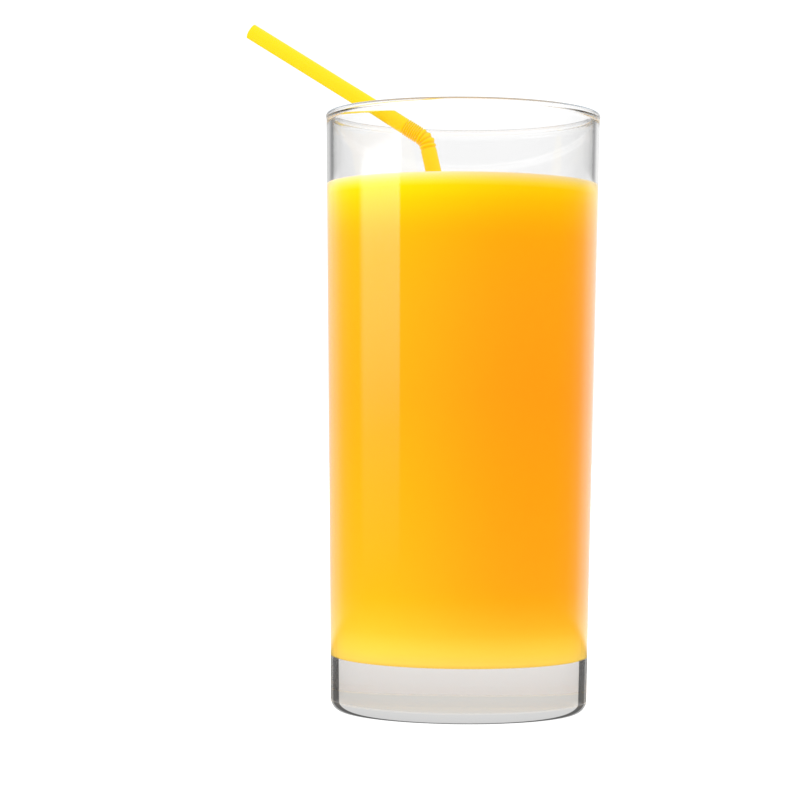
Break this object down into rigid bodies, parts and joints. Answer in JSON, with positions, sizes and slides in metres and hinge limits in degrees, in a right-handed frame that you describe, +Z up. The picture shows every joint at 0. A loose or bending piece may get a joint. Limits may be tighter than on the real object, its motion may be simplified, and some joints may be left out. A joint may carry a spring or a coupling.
{
  "type": "glass of orange juice",
  "caption": "Tall straight clear tumbler filled with orange juice, with a bendy drinking straw that rests on its rim.",
  "frame": {"origin": "centre of the glass's flat foot, on the glass's axis", "axes": "+Z up along the glass's axis; -Y is the side seen in the picture; the straw's arm points to -X and its leg stands on the +X side"},
  "size_m": [0.0934, 0.07, 0.18],
  "materials": {
    "clear_glass": "clear and polished",
    "juice": "cloudy juice behind glass",
    "straw": "smooth satin plastic"
  },
  "bodies": {
    "root": {"glass": "clear_glass", "juice": "juice", "straw": "straw"}
  },
  "joints": []
}
